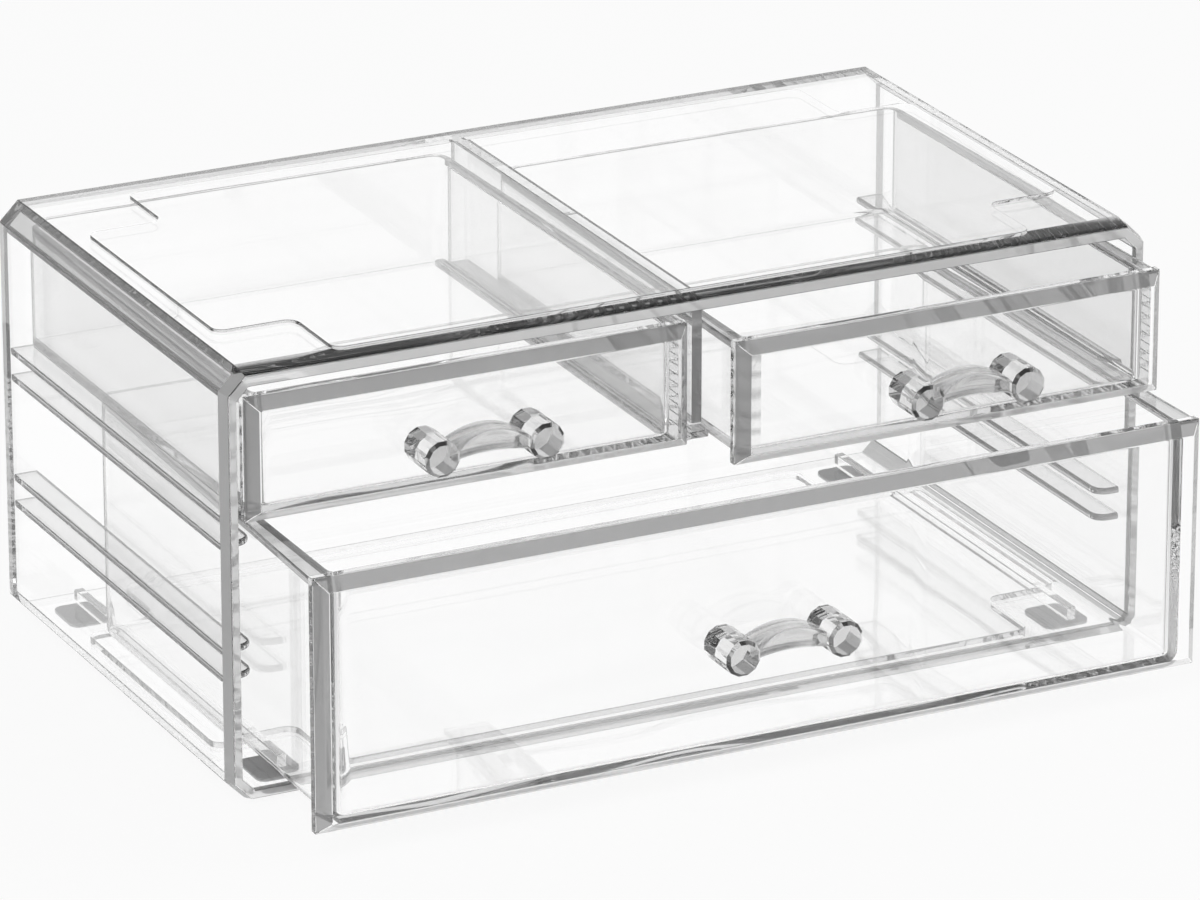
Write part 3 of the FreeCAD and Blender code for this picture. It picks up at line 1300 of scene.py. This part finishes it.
    def build(self, finishes_and_shades: FinishAndShadeMaterials) -> Piece:
        """Weld the case together and dress it.

        Args:
            finishes_and_shades: The material of each finish and painted shade.

        Returns:
            The finished moulding.
        """
        strips = [f"{side}_floor_runner" for side in SIDES]
        shelves = [f"{side}_divider_shelf" for side in SIDES]
        runners = [node for side in SIDES for node in tongues(side)]
        top_z = self.high.z + self.step_height
        floor_z = corners(strips[0])[0].z
        play = self.step_clearance
        recess = self.low.z + self.step_height + play
        step = self.build_step("top_step", 0.0, self.high.z - self.embed, top_z)
        raised = self.build_step("raised_floor", play, recess + play, floor_z)
        for block, level in ((step, top_z), (raised, floor_z)):
            bevel_edges(block, at(z=level), self.edge_round, Steps.EDGE)
        below = self.build_step("recess", play, self.low.z - self.embed, recess)
        shell = self.build_shell()
        weld(shell, step, raised)
        cut_out(shell, below)
        weld(shell, *(self.build_tongue(node) for node in runners))
        weld(shell, self.build_divider())
        weld(shell, *(self.build_floor_runner(node) for node in strips))
        slice_across(shell, Axis.Y, self.high.y - self.back_wall)
        true_up(shell)
        dress(shell, list(finishes_and_shades.values()))
        mark_finishes_and_shades(shell, self.finish_and_shade_at, finishes_and_shades)
        nodes = ["case_shell", "back_panel", "centre_divider", *shelves, *runners, *strips]
        stands_for(shell, Body.CASE, nodes)
        return shell

    def finish_and_shade_at(self, place: Vector, normal: Vector) -> FinishAndPaintedShade:
        """Choose the finish and painted shade of a face by where it lies and which way it looks.

        Args:
            place: The face's centre.
            normal: The way it looks.

        Returns:
            Its finish and painted shade.
        """
        return (
            self.outer_shade(place, normal)
            or self.tongue_shade(place, normal)
            or self.web_shade(place, normal)
            or self.end_finish(place, normal)
            or self.shelf_shade(place)
            or FinishAndPaintedShade.CLEAR
        )

    def outer_shade(self, place: Vector, normal: Vector) -> FinishAndPaintedShade | None:
        """Choose the painted shade of the rim, the back's top, and the long bevels and rounds.

        Args:
            place: The face's centre.
            normal: The way it looks.

        Returns:
            Its painted shade, or None if it is not one of these faces.
        """
        rim_end = self.low.y + self.rim_depth + TINY
        forward = -normal.y
        least, most = self.brow_lean
        # The brow gets painted shade, and its faces that lean further forward a darker painted
        # line for a dark reflection.
        if place.y < rim_end + self.brow_cut and normal.z > FACING and forward > least:
            return FinishAndPaintedShade.BROW if forward < most else FinishAndPaintedShade.BROW_LINE
        if place.y < rim_end and self.rim_lean[0] < forward < self.rim_lean[1]:
            return FinishAndPaintedShade.RIM
        if place.y > self.high.y - self.back_wall and normal.z > FACING:
            return FinishAndPaintedShade.BACK
        if is_slanted(normal.x, normal.z):
            return FinishAndPaintedShade.CHAMFER
        turn = math.degrees(math.atan2(normal.z, normal.x)) % EIGHTH_TURN
        rounded = abs(normal.y) < LEANING and self.round_turn[0] < turn < self.round_turn[1]
        above_base = place.z > self.low.z + self.corner_bevel
        # The rounds beside the long bevels, on the outer halves, get a dark painted shade line.
        if rounded and abs(place.x) > self.high.x / 2.0 and above_base:
            return FinishAndPaintedShade.LINE
        return None

    def tongue_shade(self, place: Vector, normal: Vector) -> FinishAndPaintedShade | None:
        """Choose the painted shade of a face of the runners and guides on the sides.

        Args:
            place: The face's centre.
            normal: The way it looks.

        Returns:
            Its painted shade, or None if it is not one of these faces.
        """
        tip_x = corners("right_upper_runner")[0].x
        if not tip_x - TINY < abs(place.x) < self.high.x - self.side_wall - TINY:
            return None
        for node in tongues("right"):
            if is_level_with(place, node):
                return FinishAndPaintedShade.EDGE if abs(normal.z) < self.tongue_facing else FinishAndPaintedShade.TONGUE
        return None

    def web_shade(self, place: Vector, normal: Vector) -> FinishAndPaintedShade | None:
        """Choose the painted shade of the divider's sides and its nose.

        Args:
            place: The face's centre.
            normal: The way it looks.

        Returns:
            Its painted shade, or None if it is not one of these faces.
        """
        low, high = corners("centre_divider")
        if abs(place.x) > high.x + TINY:
            return None
        if abs(normal.x) > FACING:
            return FinishAndPaintedShade.WALL
        nose_end = low.y + self.nose_radius + TINY
        if -normal.y > FACING and self.low.y + TINY < place.y < nose_end:
            return FinishAndPaintedShade.NOSE
        return None

    def end_finish(self, place: Vector, normal: Vector) -> FinishAndPaintedShade | None:
        """Choose the finish of the flat front strip and of the sides' back ends.

        Args:
            place: The face's centre.
            normal: The way it looks.

        Returns:
            Its finish, or None if it is not one of these faces.
        """
        at_front = -normal.y > FACING and place.y < self.low.y + TINY
        at_back = abs(normal.x) > FACING and place.y > self.high.y - self.back_wall
        return FinishAndPaintedShade.STRIP if at_front or at_back else None

    def shelf_shade(self, place: Vector) -> FinishAndPaintedShade | None:
        """Choose the painted shade of the divider's root and of its shelves.

        Args:
            place: The face's centre.

        Returns:
            Its painted shade, or None if it is not one of these faces.
        """
        web = corners("centre_divider")[1]
        reach = abs(place.x)
        if reach < web.x + TINY:
            return None
        if reach < self.web_root + TINY and place.z > web.z - self.root_height - TINY:
            return FinishAndPaintedShade.LINE
        shelf = "right_divider_shelf"
        on_shelf = reach < corners(shelf)[1].x + TINY and is_level_with(place, shelf)
        return FinishAndPaintedShade.EDGE if on_shelf else None


# ---------------- studio


@dataclass(frozen=True)
class Lamp:
    """One soft square lamp, aimed at the organizer.

    Attributes:
        name: What to call it.
        place: Where it hangs.
        size: The length of its sides.
        power: How strong it is, in watts.
        target: Where it is aimed.
    """

    name: str
    place: Triple
    size: float
    power: float
    target: Triple = (0.0, 0.0, 0.06)

    def hang(self) -> None:
        """Hang the lamp."""
        data = bpy.data.lights.new(self.name, "AREA")
        data.size = self.size
        data.energy = self.power
        lamp = bpy.data.objects.new(self.name, data)
        bpy.context.scene.collection.objects.link(lamp)
        lamp.location = self.place
        aim = Vector(self.target) - Vector(self.place)
        lamp.rotation_euler = aim.to_track_quat("-Z", "Y").to_euler()


@dataclass
class Studio:
    """Floor, surroundings, lamps and camera.

    Attributes:
        eye: Where the camera stands.
        turn: How far it is turned about the vertical, in degrees.
        tilt: How far it looks down, in degrees.
        lens: Its focal length, in millimetres.
        sensor: The width of its sensor, in millimetres.
        sight: How far it sees.
        tones: The tone of the surroundings at some heights, in degrees.
        floor_size: The length of the floor's sides.
        floor_drop: How far the floor lies under the pads.
        floor_tone: How pale its matt white is.
        floor_glow: How much it glows where it is looked at directly.
        longest_path: How often light may be mirrored or bent on its way.
        clear_layers: How many unseen surfaces it may pass.
        lamps: The lamps that light the organizer.
    """

    eye: Triple = (-1.00637, -2.05109, 0.93092)
    turn: float = -26.3535
    tilt: float = 20.9177
    lens: float = 239.196
    sensor: float = 36.0
    sight: float = 50.0
    tones: Tones = ((0.0, 1.0), (23.0, 1.0), (30.0, 0.3), (90.0, 0.12))
    floor_size: float = 8.0
    floor_drop: float = 0.0002
    floor_tone: float = 0.9
    floor_glow: float = 0.92
    longest_path: int = 96
    clear_layers: int = 16
    lamps: tuple[Lamp, ...] = (
        Lamp("key_lamp", (-1.2, -1.0, 1.6), 1.2, 14.0),
        Lamp("side_lamp", (1.4, -0.6, 1.1), 1.0, 8.0),
    )

    def build_world(self) -> None:
        """Set plain white surroundings, darker overhead, behind a white background."""
        world = bpy.data.worlds.new("surroundings")
        bpy.context.scene.world = world
        world.use_nodes = True
        tree = world.node_tree
        tree.nodes.clear()
        place = add_node(tree, "TexCoord")
        split = add_node(tree, "SeparateXYZ", {0: place.outputs["Generated"]})
        ramp = add_node(tree, "ValToRGB", {"Fac": split.outputs["Z"]})
        stops = ramp.color_ramp.elements
        for index, (height, tone) in enumerate(self.tones):
            stop = stops[index] if index < len(stops) else stops.new(1.0)
            stop.position = math.sin(math.radians(height))
            stop.color = (tone, tone, tone, 1.0)
        path = add_node(tree, "LightPath")
        room = add_node(tree, "Background", {"Color": ramp.outputs["Color"]})
        white = add_node(tree, "Background", {"Color": WHITE})
        shares = {0: path.outputs["Is Camera Ray"], 1: room.outputs[0], 2: white.outputs[0]}
        seen = add_node(tree, "MixShader", shares)
        add_node(tree, "OutputWorld", {"Surface": seen.outputs[0]})

    def make_floor_white(self) -> Material:
        """Build the floor's matt white, which glows to the camera and through plastic.

        Returns:
            The material.
        """
        material = bpy.data.materials.new("studio_white")
        material.use_nodes = True
        tree = material.node_tree
        tree.nodes.clear()
        tone = self.floor_tone
        matt = add_node(tree, "BsdfDiffuse", {"Color": (tone, tone, tone, 1.0)})
        glow = add_node(tree, "Emission", {"Color": WHITE})
        path = add_node(tree, "LightPath").outputs
        bent = {0: path["Is Transmission Ray"], 1: path["Is Glossy Ray"]}
        straight = {0: path["Is Camera Ray"], 1: self.floor_glow}
        terms = {
            0: add_node(tree, "Math", bent, operation="MAXIMUM").outputs[0],
            1: add_node(tree, "Math", straight, operation="MULTIPLY").outputs[0],
        }
        share = add_node(tree, "Math", terms, operation="ADD")
        shares = {0: share.outputs[0], 1: matt.outputs[0], 2: glow.outputs[0]}
        mixed = add_node(tree, "MixShader", shares)
        add_node(tree, "OutputMaterial", {"Surface": mixed.outputs[0]})
        return material

    def build_floor(self) -> Piece:
        """Lay the pale floor.

        Returns:
            The floor, which is not part of the organizer.
        """
        clear_selection()
        bpy.ops.mesh.primitive_plane_add(
            size=self.floor_size, location=(0.0, 0.0, -self.floor_drop)
        )
        floor = bpy.context.object
        floor.name = "studio_floor"
        bpy.ops.object.transform_apply(location=True, rotation=True, scale=True)
        dress(floor, [self.make_floor_white()])
        return floor

    def build_camera(self) -> None:
        """Set the camera where the organizer is looked at from."""
        data = bpy.data.cameras.new("camera")
        data.lens = self.lens
        data.sensor_width = self.sensor
        data.clip_end = self.sight
        camera = bpy.data.objects.new("camera", data)
        bpy.context.scene.collection.objects.link(camera)
        camera.location = self.eye
        camera.rotation_euler = (math.radians(90.0 - self.tilt), 0.0, math.radians(self.turn))
        bpy.context.scene.camera = camera

    def set_light_paths(self) -> None:
        """Let light cross the many clear walls, and show tones as they are."""
        scene = bpy.context.scene
        scene.view_settings.view_transform = "Standard"
        scene.cycles.max_bounces = self.longest_path
        scene.cycles.transmission_bounces = self.longest_path
        scene.cycles.glossy_bounces = self.longest_path
        scene.cycles.transparent_max_bounces = self.clear_layers

    def build(self) -> None:
        """Build the whole studio."""
        self.build_world()
        self.build_floor()
        for lamp in self.lamps:
            lamp.hang()
        self.build_camera()
        self.set_light_paths()


def main() -> None:
    """Build the studio, the mouldings and the pads, in order."""
    logging.basicConfig(level=logging.INFO)
    Studio().build()
    CaseMoulding().build(clear_finishes_and_shades("case", CASE_GRADES))
    small_finishes_and_shades = clear_finishes_and_shades("small_drawer", SMALL_DRAWER_GRADES)
    for body in (Body.LEFT, Body.RIGHT):
        DrawerMoulding(body, bottom_radius=0.0012).build(small_finishes_and_shades)
    tall_finishes_and_shades = clear_finishes_and_shades("tall_drawer", DRAWER_GRADES)
    DrawerMoulding(Body.TALL, bottom_radius=0.0040, overhang=0.00544).build(tall_finishes_and_shades)
    pad = PadRubber().make()
    for name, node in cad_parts.items():
        if name.endswith("_foot"):
            dress(node, [pad])
            log.info("%s dressed", name)


if __name__ == "__main__":
    main()
